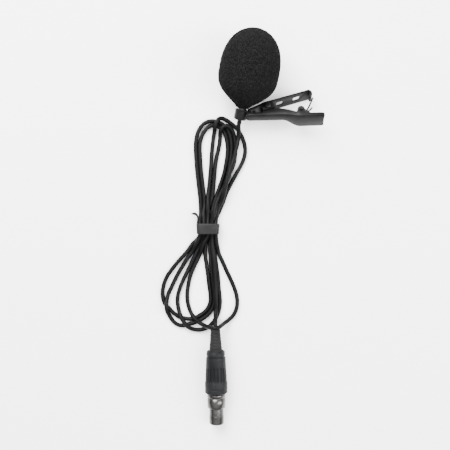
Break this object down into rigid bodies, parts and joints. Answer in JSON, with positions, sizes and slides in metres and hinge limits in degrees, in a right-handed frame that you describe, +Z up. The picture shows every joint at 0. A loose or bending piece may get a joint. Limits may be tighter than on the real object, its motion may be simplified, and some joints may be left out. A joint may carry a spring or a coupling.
{
  "type": "lavalier microphone",
  "caption": "Small clip-on lapel microphone with foam windscreen, sprung tie clip, tied hank of thin cord and a small round locking plug.",
  "frame": {"origin": "middle of the microphone and clip's box, on the surface that the object lies on", "axes": "+Z up; +Y from the plug towards the windscreen; +X the way the clip reaches out"},
  "size_m": [0.0818, 0.1988, 0.0327],
  "materials": {
    "foam_black": "matte open-cell foam",
    "satin_black_metal": "satin black enamel on pressed sheet steel and brass",
    "black_rubber": "satin flexible rubber and cord jacket",
    "black_plastic": "fine satin moulded plastic",
    "plug_metal": "dark nickel plate, turned",
    "gold": "gold-plated contact",
    "green_board": "printed circuit board"
  },
  "bodies": {
    "clip_top": {"clip_lever": "satin_black_metal", "clip_collar": "satin_black_metal", "collar_rivet": "plug_metal", "clip_pivot_pin": "plug_metal", "cord_lead": "black_rubber", "cord_hank": "black_rubber", "cord_tie": "black_plastic", "tie_end_1": "black_plastic", "tie_end_2": "black_plastic", "plug_boot": "black_rubber", "plug_back_shell": "black_plastic", "plug_cable_clamp": "black_plastic", "plug_barrel": "plug_metal", "plug_nose_sleeve": "plug_metal", "plug_insert": "black_plastic", "plug_contact_1": "gold", "plug_contact_2": "gold", "plug_contact_3": "gold", "plug_contact_4": "gold", "latch_spring": "plug_metal"},
    "lower_jaw": {"clip_lower_jaw": "satin_black_metal", "spring_pin": "plug_metal", "clip_spring": "satin_black_metal"},
    "spring_leg": {"clip_spring_leg": "satin_black_metal"},
    "microphone": {"mic_housing": "satin_black_metal", "mic_grille": "satin_black_metal", "capsule": "plug_metal", "capsule_gasket": "black_rubber", "preamp_board": "green_board", "mic_strain_relief": "black_rubber"},
    "windscreen": {"foam_windscreen": "foam_black"},
    "latch": {"plug_latch": "plug_metal"}
  },
  "joints": [
    {"name": "clip_open", "type": "hinge", "parent": "clip_top", "child": "lower_jaw", "pos_m": [-0.00154, -0.01547, 0.00894], "axis": [-0.0131, 0.4998, 0.866], "range_deg": [0, 18], "stiffness_Nm_per_rad": 0.3, "springref_deg": -11.46, "deforming": ["clip_spring"]},
    {"name": "spring_follow", "type": "hinge", "parent": "lower_jaw", "child": "spring_leg", "pos_m": [0.01492, -0.01773, 0.01048], "axis": [-0.0131, 0.4998, 0.866], "range_deg": [-41, 0]},
    {"name": "mic_turn", "type": "hinge", "parent": "clip_top", "child": "microphone", "pos_m": [-0.01554, -0.01975, 0.00673], "axis": [0.1786, 0.9105, 0.373], "range_deg": [-90, 90]},
    {"name": "windscreen_pull", "type": "slide", "parent": "microphone", "child": "windscreen", "axis": [0.1786, 0.9105, 0.373], "range_m": [0, 0.03]},
    {"name": "latch_press", "type": "hinge", "parent": "clip_top", "child": "latch", "pos_m": [-0.02752, -0.16066, 0.00174], "axis": [-0.9999, -0.0122, 0], "range_deg": [0, 5], "stiffness_Nm_per_rad": 0.02}
  ],
  "couplings": [
    {"joint": "spring_follow", "follows": "clip_open", "ratio": -2.2}
  ]
}
